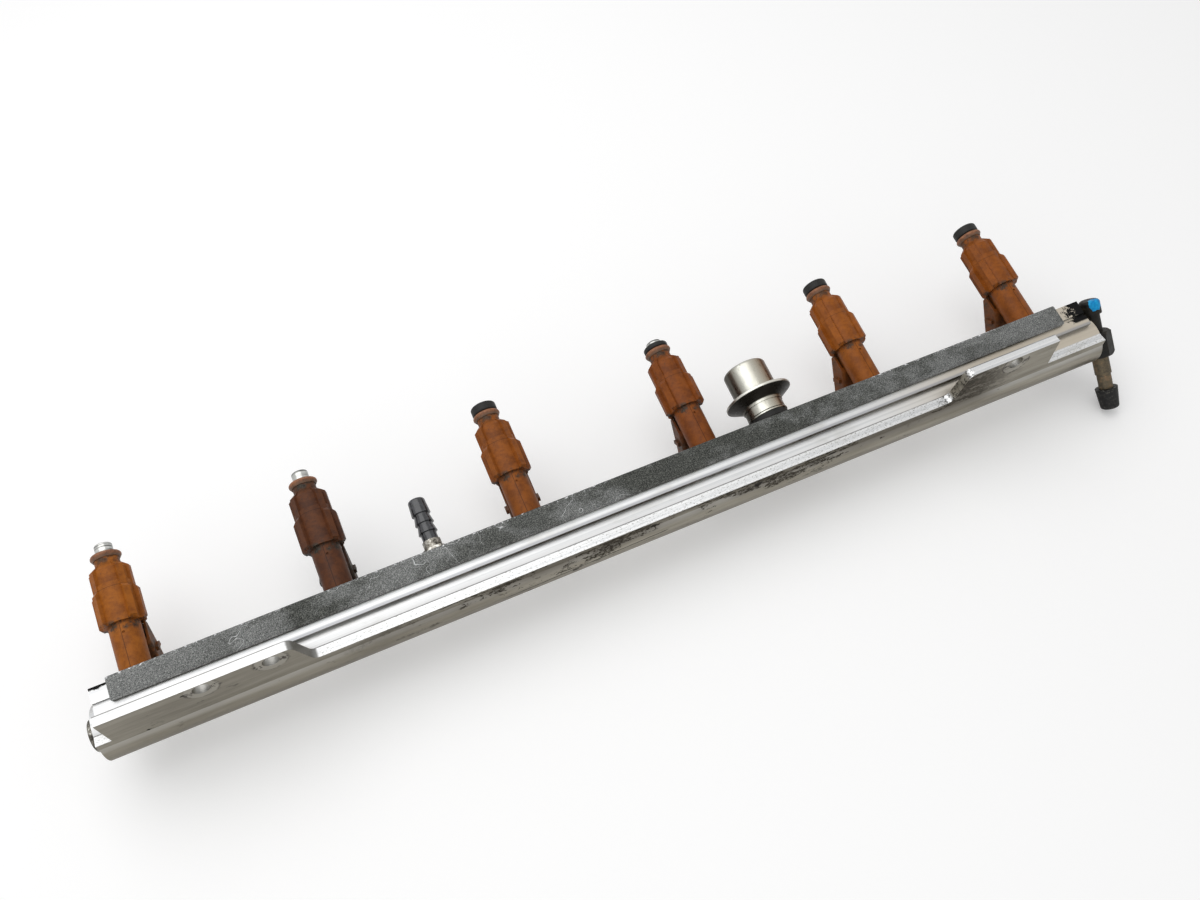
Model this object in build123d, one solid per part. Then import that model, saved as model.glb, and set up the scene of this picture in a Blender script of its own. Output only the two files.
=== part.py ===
from build123d import *
from math import cos, radians, sin, sqrt, tan
import os

# Six-cylinder fuel rail with its injectors, in millimetres.
# While it is built, X runs along the fuel tube from the first injector, +Y is the way the
# injectors point, +Z is up and the fuel tube's axis is the line Y = 0, Z = 0.
# Every piece is then turned about the tube and moved, so that the lugs' bolt holes run along Y
# and the origin is the centre of the mounting bolt pattern.

# Injectors along the rail
injector_count = 6
injector_pitch = 103.6
injector_clocking = [0.0, -2.0, -4.0, 1.0, 6.0, 4.0]
rail_left_margin = 22.0
rail_right_margin = 28.5
injector_tilt = 11.5

# Extruded section; the plate and its lugs lean back from the injectors by their tilt
tube_outer_radius = 14.0
fuel_bore_radius = 7.5
block_front_y = 2.6
block_back_y = 17.9
block_top_z = 17.1
block_bottom_z = -12.5
block_bottom_radius = 5.0
block_setback = 3.9
plate_front_y = -11.7
plate_thickness = 5.0
plate_low_z = 12.3
plate_top_z = 32.4

# Lugs cut from the front plate, with their bolt holes
left_lug_start_x = -14.4
left_lug_end_x = 80.2
right_lug_before_bolt = 33.0
right_lug_beyond_bolt = 26.8
lug_curve_radius = 4.5
lug_curve_slope = 72.0
bolt_hole_radius = 4.25
bolt_hole_drop = 4.8
first_bolt_x = 66.2
bolt_pitches = 4
bracket_hole_x = 33.3

# Retainer strip that clips over the block and locks the injectors
strip_thickness = 2.2
strip_front_y = 7.4
strip_left_margin = 9.0
strip_right_margin = 8.7
strip_leg_bottom_z = -4.0
strip_bend_radius = 1.6
strip_corner_radius = 1.2
strip_lip_width = 1.5
strip_lip_depth = 1.3
strip_lip_setback = 1.0
groove_clearance = 0.15
notch_clearance = 0.15

# Injector sockets in the block
socket_floor_y = 4.0
counterbore_radius = 7.95
counterbore_depth = 2.2
collar_clearance = 0.15

# Injector housing, from the rail outwards
barrel_radius = 7.7
lock_groove_radius = 6.6
shoulder_y = 47.3
core_radius = 9.5
core_step_y = 68.4
upper_core_radius = 8.7
upper_core_end_y = 76.4
neck_radius = 6.1
neck_start_y = 80.2
neck_end_y = 83.3
rib_width = 3.6
rib_radius = 11.4
rib_step_y = 65.8
rib_step_run = 2.0
upper_rib_radius = 9.9
rib_end_y = 76.8
rib_end_run = 3.2
rib_foot_chamfer = 1.1
rib_angles = [45, 90, 135, 225, 270, 315]
pin_mark_radius = 0.7
pin_mark_depth = 0.8
pin_mark_y = 41.4

# Electrical connector below each injector, leaning back towards the rail
connector_y = 49.5
connector_lean = 47.0
connector_width = 17.0
connector_height = 12.0
connector_corner_radius = 2.0
connector_length = 28.0
connector_top_z = -5.0
connector_wall = 1.8
socket_depth = 11.5
clip_lug_reach = 1.4
clip_lug_height = 6.0
clip_lug_width = 2.2
clip_lug_setback = 8.4
side_slot_width = 1.4
side_slot_depth = 3.5
side_slot_start_y = 38.5
side_wall = 1.2
blade_width = 2.8
blade_thickness = 0.8
blade_spacing = 5.0
blade_length = 5.6
blade_root = 3.0

# Steel cartridge inside each injector
inlet_end_y = 6.5
inlet_tube_radius = 4.7
inlet_bore_radius = 3.1
inlet_bore_depth = 13.0
inlet_flange_radius = 6.2
inlet_flange_width = 0.9
solenoid_radius = 7.4
solenoid_start_y = 49.5
solenoid_end_y = 75.0
nozzle_radius = 5.0
tip_radius = 4.4
tip_end_y = 92.1
tip_dish_radius = 2.6
tip_dish_depth = 0.8
tip_edge_radius = 0.9

# Clip-on ring behind the nozzle, seals and inlet filter
ring_radius = 7.55
ring_width = 3.0
ring_edge_radius = 1.1
inlet_seal_section = 1.15
inlet_seal_gap = 0.15
nozzle_seal_radius = 7.1
tall_seal_width = 5.2
short_seal_width = 3.2
seal_clearance = 0.1
tall_sealed = [3, 5, 6]
short_sealed = [4]
filter_flange_width = 1.0
filter_wall = 0.6
filter_length = 10.5
filter_tip_radius = 1.6

# Hose nipple between the second and third injectors
hose_fitting_after = 2
hose_fitting_offset = -0.2
fitting_end_gap = 1.0
fitting_spigot_radius = 5.0
fitting_flange_radius = 8.0
fitting_flange_width = 1.6
fitting_hex_flats = 13.0
fitting_hex_end_y = 25.0
fitting_collar_radius = 4.9
fitting_collar_end_y = 29.8
nipple_root_radius = 4.2
nipple_barb_radius = 5.15
nipple_bore_radius = 2.6
nipple_first_barb_y = 34.6
nipple_barb_pitch = 5.4
nipple_barb_count = 3
nipple_end_y = 54.3
nipple_end_radius = 2.0
nipple_end_flare = 0.3
nipple_tail_length = 12.0
nipple_tail_radius = 3.6

# Pulsation damper between the fourth and fifth injectors
damper_after = 4
damper_offset = -11.2
damper_cap_radius = 12.5
damper_cap_edge_radius = 2.2
damper_end_y = 58.0
damper_flange_radius = 19.3
damper_flange_y = 37.8
damper_flange_width = 1.5
damper_neck_radius = 11.2
damper_neck_bead = 0.5
damper_neck_bead_width = 1.4
damper_neck_end_y = 25.8
damper_spigot_radius = 8.6
damper_groove_radius = 7.5
damper_nose_radius = 5.6
damper_nose_end_y = 8.0
damper_ring_width = 3.2
damper_ring_extra = 0.15
damper_seal_section = 1.4

# Plug pressed into the left end of the fuel bore
plug_head_radius = 8.3
plug_head_width = 4.1
plug_edge_radius = 0.8
plug_spigot_length = 8.0

# Tee on the right end, with its test valve leaning down and forward
tee_offset = 7.5
tee_tilt = 57.0
tee_flange_radius = 8.5
tee_flange_width = 1.6
tee_spigot_length = 10.0
tee_neck_radius = 5.0
tee_head_radius = 5.8
tee_head_start = 12.6
tee_head_end = 21.0
tee_head_edge_radius = 2.0
tee_waist_radius = 4.4
tee_body_flats = 14.8
tee_body_start = 1.9
tee_body_end = -13.0
tee_body_chamfer = 1.2
tee_passage_radius = 2.0
valve_thread_radius = 3.6
valve_thread_length = 6.0
valve_shoulder_radius = 4.6
valve_shoulder_end = -24.0
valve_stem_radius = 4.0
valve_stem_end = -32.8
valve_tip_radius = 3.4
valve_tip_end = -43.0
valve_bore_radius = 1.9
core_body_radius = 1.4
core_pin_radius = 0.6
core_length = 12.0
core_recess = 0.8
cap_open_radius = 6.3
cap_end_radius = 5.1
cap_start = -33.0
cap_end = -45.6
cap_edge_radius = 1.4
cap_clearance = 0.1

# Places that follow from the sizes above
last_injector_x = (injector_count - 1) * injector_pitch
rail_left_x = -rail_left_margin
rail_right_x = last_injector_x + rail_right_margin
rail_length = rail_right_x - rail_left_x
plate_back_y = plate_front_y + plate_thickness
bolt_z = plate_top_z - bolt_hole_drop
last_bolt_x = first_bolt_x + bolt_pitches * injector_pitch
right_lug_start_x = last_bolt_x - right_lug_before_bolt
right_lug_end_x = last_bolt_x + right_lug_beyond_bolt
hose_fitting_x = (hose_fitting_after - 0.5) * injector_pitch + hose_fitting_offset
damper_x = (damper_after - 0.5) * injector_pitch + damper_offset
strip_left_x = -strip_left_margin
strip_right_x = last_injector_x + strip_right_margin
socket_radius = inlet_tube_radius + 2 * inlet_seal_section
strip_top_z = block_top_z + strip_thickness
strip_back_y = block_back_y + strip_thickness
barrel_start_y = strip_back_y + collar_clearance
collar_top_y = block_back_y - collar_clearance
collar_bottom_y = block_back_y - counterbore_depth + collar_clearance
ring_end_y = neck_end_y + ring_width
damper_flange_end_y = damper_flange_y + damper_flange_width
tee_x = rail_right_x + tee_offset
origin_point = ((first_bolt_x + last_bolt_x) / 2, plate_back_y, bolt_z)


def rail_plane(x):
    """The rail's cross-section plane at x: sketch x is Y and sketch y is Z."""
    return Plane(origin=(x, 0, 0), x_dir=(0, 1, 0), z_dir=(1, 0, 0))


def turned(points, x=0.0):
    """Solid turned about the line through x that points along +Y.

    points are (radius, y) pairs of the outline, from one end of the axis to the other.
    """
    outline = Polyline(*[(r, y) for r, y in points], close=True)
    solid = revolve(make_face(outline), Axis.Y)
    return solid.moved(Location((x, 0, 0)))


def rod(radius, start_y, end_y, x=0.0):
    """Cylinder along Y between two values of y."""
    plane = Plane(origin=(x, start_y, 0), x_dir=(1, 0, 0), z_dir=(0, 1, 0))
    return extrude(plane * Circle(radius), end_y - start_y)


def seal_ring(inner_radius, outer_radius, middle_y, x=0.0):
    """Round-section ring about the Y axis."""
    section_radius = (outer_radius - inner_radius) / 2
    plane = Plane(origin=(x, middle_y, 0), x_dir=(1, 0, 0), z_dir=(0, 1, 0))
    return plane * Torus(inner_radius + section_radius, section_radius)


def edges_at(solid, radius, y, slack=0.05):
    """Round edges of one radius that lie at one y."""
    found = solid.edges().filter_by(GeomType.CIRCLE)
    return [e for e in found if abs(e.radius - radius) < slack and abs(e.center().Y - y) < slack]


def tube_section():
    """Round fuel tube with the low part of the front plate."""
    low_plate = Pos(plate_front_y + plate_thickness / 2, plate_low_z / 2)
    low_plate *= Rectangle(plate_thickness, plate_low_z)
    return Circle(tube_outer_radius) + Rot(0, 0, -injector_tilt) * low_plate


def block_section():
    """Injector block behind the tube, with its rounded lower corner."""
    depth = block_back_y - block_front_y
    height = block_top_z - block_bottom_z
    middle_z = (block_top_z + block_bottom_z) / 2
    block = Pos((block_front_y + block_back_y) / 2, middle_z) * Rectangle(depth, height)
    low_corner = block.vertices().sort_by(Axis.Y)[:2].sort_by(Axis.X)[-1]
    return fillet(low_corner, block_bottom_radius)


def lug_outline(square_x, curved_x):
    """Lug in the X-Z plane: one end is cut square and the other leaves the plate in an S."""
    side = 1 if curved_x > square_x else -1
    run = side * (plate_top_z - plate_low_z) / tan(radians(lug_curve_slope))
    root_z = plate_low_z - lug_curve_radius
    far_x = curved_x + run / 2 + side * 2 * lug_curve_radius
    points = [(square_x, root_z), (square_x, plate_top_z), (curved_x - run / 2, plate_top_z)]
    points += [(curved_x + run / 2, plate_low_z), (far_x, plate_low_z), (far_x, root_z)]
    face = make_face(Polyline(*points, close=True))
    bends = [points[2], points[3]]
    corners = [v for v in face.vertices() for b in bends if abs(v.X - b[0]) + abs(v.Y - b[1]) < 0.01]
    return fillet(corners, lug_curve_radius)


def upright(solid):
    """Turn a piece of the upright plate to its lean behind the injectors' direction."""
    return solid.rotate(Axis.X, -injector_tilt)


def lug(square_x, curved_x):
    """Lug plate, with its back face on plate_back_y."""
    plane = Plane(origin=(0, plate_back_y, 0), x_dir=(1, 0, 0), z_dir=(0, -1, 0))
    return upright(extrude(plane * lug_outline(square_x, curved_x), plate_thickness))


def bolt_hole(x):
    """Drill for one hole through a lug."""
    hole = rod(bolt_hole_radius, plate_front_y, plate_back_y, x)
    return upright(hole.moved(Location((0, 0, bolt_z))))


def rail_extrusion():
    """The aluminium rail: extruded, then milled, drilled and bored."""
    rail = extrude(rail_plane(rail_left_x) * tube_section(), rail_length)
    block_length = rail_length - 2 * block_setback
    rail += extrude(rail_plane(rail_left_x + block_setback) * block_section(), block_length)
    rail += lug(left_lug_start_x, left_lug_end_x)
    rail += lug(right_lug_end_x, right_lug_start_x)
    rail -= extrude(rail_plane(rail_left_x) * Circle(fuel_bore_radius), rail_length)
    for x in (bracket_hole_x, first_bolt_x, last_bolt_x):
        rail -= bolt_hole(x)
    for i in range(injector_count):
        x = i * injector_pitch
        rail -= rod(socket_radius, socket_floor_y, block_back_y, x)
        rail -= rod(counterbore_radius, block_back_y - counterbore_depth, block_back_y, x)
    rail -= rod(fitting_spigot_radius, socket_floor_y, block_back_y, hose_fitting_x)
    rail -= rod(damper_nose_radius + 2 * damper_seal_section, socket_floor_y, block_back_y, damper_x)
    rail -= rod(damper_spigot_radius + collar_clearance, block_back_y - counterbore_depth,
                block_back_y, damper_x)
    rail -= strip_groove()
    return rail


def strip_lip_box(extra):
    """Lip under the strip's front edge, grown by extra at its sides and foot."""
    start_x = strip_left_x - extra
    length = strip_right_x - strip_left_x + 2 * extra
    width = strip_lip_width + 2 * extra
    depth = strip_lip_depth + extra
    middle_y = strip_front_y + strip_lip_setback + strip_lip_width / 2
    return Pos(start_x + length / 2, middle_y, block_top_z - depth / 2) * Box(length, width, depth)


def strip_groove():
    """Groove in the block's top for the strip's lip, milled through to both ends."""
    groove = strip_lip_box(groove_clearance)
    reach = rail_length
    size = groove.bounding_box().size
    middle = groove.center()
    return Pos(middle.X, middle.Y, middle.Z) * Box(2 * reach, size.Y, size.Z)


def strip_notch(x, radius):
    """Slot through the strip's back leg, open at its lower edge."""
    depth = abs(strip_leg_bottom_z) + strip_thickness
    thickness = strip_back_y - block_back_y
    notch = rod(radius, block_back_y, strip_back_y, x)
    slot = Pos(x, block_back_y + thickness / 2, -depth / 2) * Box(2 * radius, thickness, depth)
    return notch + slot


def retainer_strip():
    """Folded steel strip: a top leg on the block and a notched leg behind it."""
    top_width = strip_back_y - strip_front_y
    top = Pos(strip_front_y + top_width / 2, block_top_z + strip_thickness / 2)
    top *= Rectangle(top_width, strip_thickness)
    leg_height = strip_top_z - strip_leg_bottom_z
    leg = Pos(block_back_y + strip_thickness / 2, strip_leg_bottom_z + leg_height / 2)
    leg *= Rectangle(strip_thickness, leg_height)
    section = top + leg
    bend = [v for v in section.vertices()
            if abs(v.X - strip_back_y) < 0.01 and abs(v.Y - strip_top_z) < 0.01]
    section = fillet(bend, strip_bend_radius)
    strip = extrude(rail_plane(strip_left_x) * section, strip_right_x - strip_left_x)
    strip += strip_lip_box(0)
    upright = strip.edges().filter_by(Axis.Z)
    front = [e for e in upright if abs(e.center().Y - strip_front_y) < 0.01]
    strip = fillet(front, strip_corner_radius)
    for i in range(injector_count):
        strip -= strip_notch(i * injector_pitch, lock_groove_radius + notch_clearance)
    strip -= strip_notch(hose_fitting_x, fitting_flange_radius + notch_clearance)
    strip -= strip_notch(damper_x, damper_groove_radius + notch_clearance)
    return strip


def left_end_plug():
    """Disc plug with a spigot pressed into the fuel bore."""
    points = [(0, 0), (0, plug_spigot_length + plug_head_width)]
    points += [(fuel_bore_radius, plug_spigot_length + plug_head_width)]
    points += [(fuel_bore_radius, plug_head_width), (plug_head_radius, plug_head_width)]
    points += [(plug_head_radius, 0)]
    plug = turned(points)
    plug = fillet(edges_at(plug, plug_head_radius, 0), plug_edge_radius)
    turned_to_x = Plane(origin=(rail_left_x - plug_head_width, 0, 0), x_dir=(0, -1, 0), z_dir=(0, 0, 1))
    return plug.moved(turned_to_x.location)


def injector_cavity():
    """Space that the steel cartridge fills inside the plastic housing."""
    points = [(0, collar_bottom_y), (0, neck_end_y), (nozzle_radius, neck_end_y)]
    points += [(nozzle_radius, solenoid_end_y), (solenoid_radius, solenoid_end_y)]
    points += [(solenoid_radius, solenoid_start_y), (inlet_tube_radius, solenoid_start_y)]
    points += [(inlet_tube_radius, collar_bottom_y)]
    return turned(points)


def rib():
    """One long rib, drawn upright and turned to its place later."""
    foot = rib_foot_chamfer
    points = [(neck_radius, shoulder_y), (rib_radius - foot, shoulder_y)]
    points += [(rib_radius, shoulder_y + foot), (rib_radius, rib_step_y - rib_step_run)]
    points += [(upper_rib_radius, rib_step_y), (upper_rib_radius, rib_end_y)]
    points += [(neck_radius, rib_end_y + rib_end_run)]
    side = Plane(origin=(-rib_width / 2, 0, 0), x_dir=(0, 0, 1), z_dir=(1, 0, 0))
    outline = make_face(Polyline(*[(r, -y) for r, y in points], close=True))
    return extrude(side * outline, rib_width)


def lean_back(piece):
    """Turn a piece that was drawn straight below the barrel to the connector's lean."""
    return Pos(0, connector_y, 0) * (Rot(-connector_lean, 0, 0) * piece)


def connector_plane(depth):
    """Plane across the upright connector, depth below the injector's axis, facing up."""
    return Plane(origin=(0, 0, -depth), x_dir=(1, 0, 0), z_dir=(0, 0, 1))


def connector_shell():
    """Rounded box from the shoulder down, with side lugs for the clip and a slot beside the barrel."""
    outline = RectangleRounded(connector_width, connector_height, connector_corner_radius)
    shell = extrude(connector_plane(connector_length) * outline, connector_length)
    lug_width = connector_width + 2 * clip_lug_reach
    lug_depth = connector_length - clip_lug_setback
    shell += Pos(0, 0, -lug_depth) * Box(lug_width, clip_lug_height, clip_lug_width)
    shell = lean_back(shell)
    shell -= rod(2 * rib_radius, shoulder_y, neck_end_y)
    reach = connector_length + connector_height
    shell -= Pos(0, connector_y, connector_top_z + reach / 2) * Box(2 * connector_width, 2 * reach, reach)
    slot_length = shoulder_y - side_slot_start_y
    slot_x = connector_width / 2 - side_wall - side_slot_width / 2
    slot = Box(side_slot_width, slot_length, side_slot_depth)
    for side in (-1, 1):
        middle_y = (side_slot_start_y + shoulder_y) / 2
        shell -= Pos(side * slot_x, middle_y, connector_top_z - side_slot_depth / 2) * slot
    return shell


def connector_socket():
    """Hollow that takes the harness plug."""
    width = connector_width - 2 * connector_wall
    height = connector_height - 2 * connector_wall
    corner = max(connector_corner_radius - connector_wall, 0.3)
    outline = RectangleRounded(width, height, corner)
    return lean_back(extrude(connector_plane(connector_length) * outline, socket_depth))


def terminal_blades():
    """Two flat blades that stand in the connector socket."""
    floor_depth = connector_length - socket_depth
    length = blade_length + blade_root
    middle = Pos(0, 0, blade_root - floor_depth - length / 2)
    blades = []
    for side in (-1, 1):
        place = middle * Pos(side * blade_spacing / 2, 0, 0)
        blades.append(lean_back(place * Box(blade_width, blade_thickness, length)))
    return blades


def injector_housing():
    """Brown overmoulded housing at x = 0, with its plain panel on top."""
    points = [(0, collar_bottom_y), (0, neck_end_y), (neck_radius, neck_end_y)]
    points += [(neck_radius, neck_start_y), (upper_core_radius, upper_core_end_y)]
    points += [(upper_core_radius, core_step_y), (core_radius, core_step_y)]
    points += [(core_radius, shoulder_y), (barrel_radius, shoulder_y)]
    points += [(barrel_radius, barrel_start_y), (lock_groove_radius, barrel_start_y)]
    points += [(lock_groove_radius, collar_top_y), (barrel_radius, collar_top_y)]
    points += [(barrel_radius, collar_bottom_y)]
    housing = turned(points)
    for angle in rib_angles:
        housing += rib().rotate(Axis.Y, angle)
    housing += connector_shell()
    housing -= injector_cavity()
    housing -= connector_socket()
    for blade in terminal_blades():
        housing -= blade
    mark_z = barrel_radius - pin_mark_depth
    mark = extrude(Plane.XY.offset(mark_z) * Pos(0, pin_mark_y) * Circle(pin_mark_radius), 2)
    return housing - mark.rotate(Axis.Y, 8)


def injector_cartridge():
    """Steel cartridge from the inlet tube in the rail to the nozzle tip."""
    flange_start_y = inlet_seal_middle() - inlet_seal_section - inlet_seal_gap - inlet_flange_width
    points = [(0, inlet_end_y + inlet_bore_depth), (0, tip_end_y - tip_dish_depth)]
    points += [(tip_dish_radius, tip_end_y - tip_dish_depth), (tip_dish_radius, tip_end_y)]
    points += [(tip_radius, tip_end_y), (tip_radius, ring_end_y), (nozzle_radius, ring_end_y)]
    points += [(nozzle_radius, solenoid_end_y), (solenoid_radius, solenoid_end_y)]
    points += [(solenoid_radius, solenoid_start_y), (inlet_tube_radius, solenoid_start_y)]
    points += [(inlet_tube_radius, flange_start_y + inlet_flange_width)]
    points += [(inlet_flange_radius, flange_start_y + inlet_flange_width)]
    points += [(inlet_flange_radius, flange_start_y), (inlet_tube_radius, flange_start_y)]
    points += [(inlet_tube_radius, inlet_end_y), (inlet_bore_radius, inlet_end_y)]
    points += [(inlet_bore_radius, inlet_end_y + inlet_bore_depth)]
    cartridge = turned(points)
    return fillet(edges_at(cartridge, tip_radius, tip_end_y), tip_edge_radius)


def inlet_seal_middle():
    """Height of the inlet seal, just under the housing's collar."""
    return collar_bottom_y - inlet_seal_section - inlet_seal_gap


def inlet_seal():
    """Rubber ring between the inlet tube and its socket."""
    return seal_ring(inlet_tube_radius, inlet_tube_radius + 2 * inlet_seal_section, inlet_seal_middle())


def nozzle_ring():
    """Clip-on ring that keeps the nozzle seal off the housing."""
    points = [(nozzle_radius, neck_end_y), (nozzle_radius, ring_end_y), (ring_radius, ring_end_y)]
    points += [(ring_radius, ring_end_y - ring_width / 2), (ring_radius - ring_width / 3, neck_end_y)]
    ring = turned(points)
    return fillet(edges_at(ring, ring_radius, ring_end_y), ring_edge_radius)


def nozzle_seal(width):
    """Rubber seal on the nozzle tip, with rounded shoulders."""
    start_y = ring_end_y + seal_clearance
    points = [(tip_radius, start_y), (tip_radius, start_y + width)]
    points += [(nozzle_seal_radius, start_y + width), (nozzle_seal_radius, start_y)]
    seal = turned(points)
    shoulder = min(width, nozzle_seal_radius - tip_radius) * 0.45
    ends = edges_at(seal, nozzle_seal_radius, start_y) + edges_at(seal, nozzle_seal_radius, start_y + width)
    return fillet(ends, shoulder)


def inlet_filter():
    """Small basket filter pressed into the inlet tube."""
    end_y = inlet_end_y + filter_length
    points = [(inlet_bore_radius - filter_wall, inlet_end_y), (inlet_bore_radius, inlet_end_y)]
    points += [(inlet_bore_radius, inlet_end_y + filter_flange_width)]
    points += [(inlet_bore_radius - filter_wall / 2, inlet_end_y + filter_flange_width)]
    points += [(filter_tip_radius, end_y), (0, end_y), (0, end_y - filter_wall)]
    points += [(filter_tip_radius - filter_wall, end_y - filter_wall)]
    return turned(points)


def hose_fitting():
    """Plated fitting with a hexagon and a crimped collar for the hose nipple."""
    flange_end_y = block_back_y + fitting_flange_width
    fitting = rod(fitting_spigot_radius, socket_floor_y + fitting_end_gap, block_back_y)
    fitting += rod(fitting_flange_radius, block_back_y, flange_end_y)
    plane = Plane(origin=(0, flange_end_y, 0), x_dir=(1, 0, 0), z_dir=(0, 1, 0))
    hexagon = RegularPolygon(fitting_hex_flats / 2, 6, major_radius=False)
    fitting += extrude(plane * hexagon, fitting_hex_end_y - flange_end_y)
    fitting += rod(fitting_collar_radius, fitting_hex_end_y, fitting_collar_end_y)
    tail_start_y = fitting_collar_end_y - nipple_tail_length
    fitting -= rod(nipple_tail_radius, tail_start_y, fitting_collar_end_y)
    fitting -= rod(nipple_bore_radius, socket_floor_y, tail_start_y)
    return fitting.moved(Location((hose_fitting_x, 0, 0)))


def hose_nipple():
    """Barbed nipple: each barb is a cone with its sharp edge towards the fitting."""
    tail_start_y = fitting_collar_end_y - nipple_tail_length
    points = [(nipple_bore_radius, nipple_end_y), (nipple_bore_radius, tail_start_y)]
    points += [(nipple_tail_radius, tail_start_y), (nipple_tail_radius, fitting_collar_end_y)]
    points += [(nipple_root_radius, fitting_collar_end_y)]
    for i in range(nipple_barb_count):
        barb_y = nipple_first_barb_y + i * nipple_barb_pitch
        points += [(nipple_root_radius, barb_y), (nipple_barb_radius, barb_y)]
        if i < nipple_barb_count - 1:
            points += [(nipple_root_radius, barb_y + nipple_barb_pitch * 0.8)]
    points += [(nipple_root_radius + nipple_end_flare, nipple_end_y)]
    nipple = turned(points)
    end = edges_at(nipple, nipple_root_radius + nipple_end_flare, nipple_end_y)
    nipple = fillet(end, min(nipple_end_radius, nipple_root_radius - nipple_bore_radius))
    return nipple.moved(Location((hose_fitting_x, 0, 0)))


def damper_can():
    """Sealed pulsation damper: crimped steel can with its spigot in the block."""
    collar_end_y = block_back_y - collar_clearance
    collar_start_y = block_back_y - counterbore_depth + collar_clearance
    bead = damper_neck_radius + damper_neck_bead
    neck_top_y = damper_flange_y - 3 * damper_neck_bead_width
    points = [(0, damper_nose_end_y), (0, damper_end_y), (damper_cap_radius, damper_end_y)]
    points += [(damper_cap_radius, damper_flange_end_y), (damper_flange_radius, damper_flange_end_y)]
    points += [(damper_flange_radius, damper_flange_y), (bead, neck_top_y)]
    points += [(bead, neck_top_y - damper_neck_bead_width)]
    points += [(damper_neck_radius, neck_top_y - damper_neck_bead_width)]
    points += [(damper_neck_radius, damper_neck_end_y + damper_neck_bead_width)]
    points += [(bead, damper_neck_end_y + damper_neck_bead_width / 2), (bead, damper_neck_end_y)]
    points += [(damper_spigot_radius, damper_neck_end_y), (damper_spigot_radius, barrel_start_y)]
    points += [(damper_groove_radius, barrel_start_y), (damper_groove_radius, collar_end_y)]
    points += [(damper_spigot_radius, collar_end_y), (damper_spigot_radius, collar_start_y)]
    points += [(damper_nose_radius, collar_start_y), (damper_nose_radius, damper_nose_end_y)]
    can = turned(points)
    can = fillet(edges_at(can, damper_cap_radius, damper_end_y), damper_cap_edge_radius)
    rim = edges_at(can, damper_flange_radius, damper_flange_end_y)
    can = fillet(rim, damper_flange_width * 0.4)
    return can.moved(Location((damper_x, 0, 0)))


def damper_dust_ring():
    """Rubber ring behind the damper's neck."""
    outer = damper_neck_radius + damper_ring_extra
    start_y = damper_neck_end_y - damper_ring_width
    points = [(damper_spigot_radius, start_y), (outer, start_y), (outer, damper_neck_end_y)]
    points += [(damper_spigot_radius, damper_neck_end_y)]
    return turned(points, damper_x)


def damper_seal():
    """Rubber ring on the damper's nose, inside its socket."""
    start_y = block_back_y - counterbore_depth
    middle_y = start_y - damper_seal_section - inlet_seal_gap
    return seal_ring(damper_nose_radius, damper_nose_radius + 2 * damper_seal_section, middle_y, damper_x)


def tee_place():
    """Frame on the tee's leaning axis: local z points up and back, to the tee's head."""
    lean = radians(tee_tilt)
    return Plane(origin=(tee_x, 0, 0), x_dir=(1, 0, 0), z_dir=(0, sin(lean), cos(lean)))


def leaning_rod(radius, start, end):
    """Cylinder on the tee's leaning axis between two distances from the fuel tube's axis."""
    low = min(start, end)
    return extrude(tee_place().offset(low) * Circle(radius), abs(end - start))


def tee_fitting():
    """Painted tee: spigot in the fuel bore, round head above, hexagonal body below."""
    head = leaning_rod(tee_head_radius, tee_head_start, tee_head_end)
    crown = head.edges().filter_by(GeomType.CIRCLE).sort_by(Axis.Z)[-1]
    head = fillet(crown, tee_head_edge_radius)
    tee = head + leaning_rod(tee_waist_radius, tee_body_end / 2, tee_head_start)
    body_plane = tee_place().offset(tee_body_end)
    hexagon = RegularPolygon(tee_body_flats / 2, 6, major_radius=False)
    body = extrude(body_plane * Rot(0, 0, 30) * hexagon, tee_body_start - tee_body_end)
    outer_radius = tee_body_flats / 2 / cos(radians(30))
    height = tee_body_start - tee_body_end
    cone = Cone(outer_radius + height - tee_body_chamfer, outer_radius - tee_body_chamfer, height,
                align=(Align.CENTER, Align.CENTER, Align.MIN))
    flipped = Cone(outer_radius - tee_body_chamfer, outer_radius + height - tee_body_chamfer, height,
                   align=(Align.CENTER, Align.CENTER, Align.MIN))
    body = body & (body_plane * cone) & (body_plane * flipped)
    tee += body
    along = rail_plane(rail_right_x)
    tee += extrude(along * Circle(tee_flange_radius), tee_flange_width)
    tee += extrude(along * Circle(tee_neck_radius), tee_offset)
    tee += extrude(rail_plane(rail_right_x - tee_spigot_length) * Circle(fuel_bore_radius), tee_spigot_length)
    start_x = rail_right_x - tee_spigot_length
    tee -= extrude(rail_plane(start_x) * Circle(tee_passage_radius), tee_spigot_length + tee_offset)
    tee -= leaning_rod(tee_passage_radius, tee_body_end, 0)
    return tee - leaning_rod(valve_thread_radius, tee_body_end, tee_body_end + valve_thread_length)


def valve_stem():
    """Test valve body screwed into the tee's lower end."""
    stem = leaning_rod(valve_thread_radius, tee_body_end, tee_body_end + valve_thread_length)
    stem += leaning_rod(valve_shoulder_radius, valve_shoulder_end, tee_body_end)
    stem += leaning_rod(valve_stem_radius, valve_stem_end, valve_shoulder_end)
    stem += leaning_rod(valve_tip_radius, valve_tip_end, valve_stem_end)
    stem -= leaning_rod(valve_bore_radius, valve_tip_end, tee_body_end + valve_thread_length)
    return stem


def valve_core():
    """Spring valve core inside the stem, with its pin near the mouth."""
    start = valve_tip_end + core_recess
    core = leaning_rod(valve_bore_radius, start + core_length * 0.2, start + core_length * 0.45)
    core += leaning_rod(core_body_radius, start + core_length * 0.45, start + core_length)
    return core + leaning_rod(core_pin_radius, start, start + core_length * 0.2)


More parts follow.
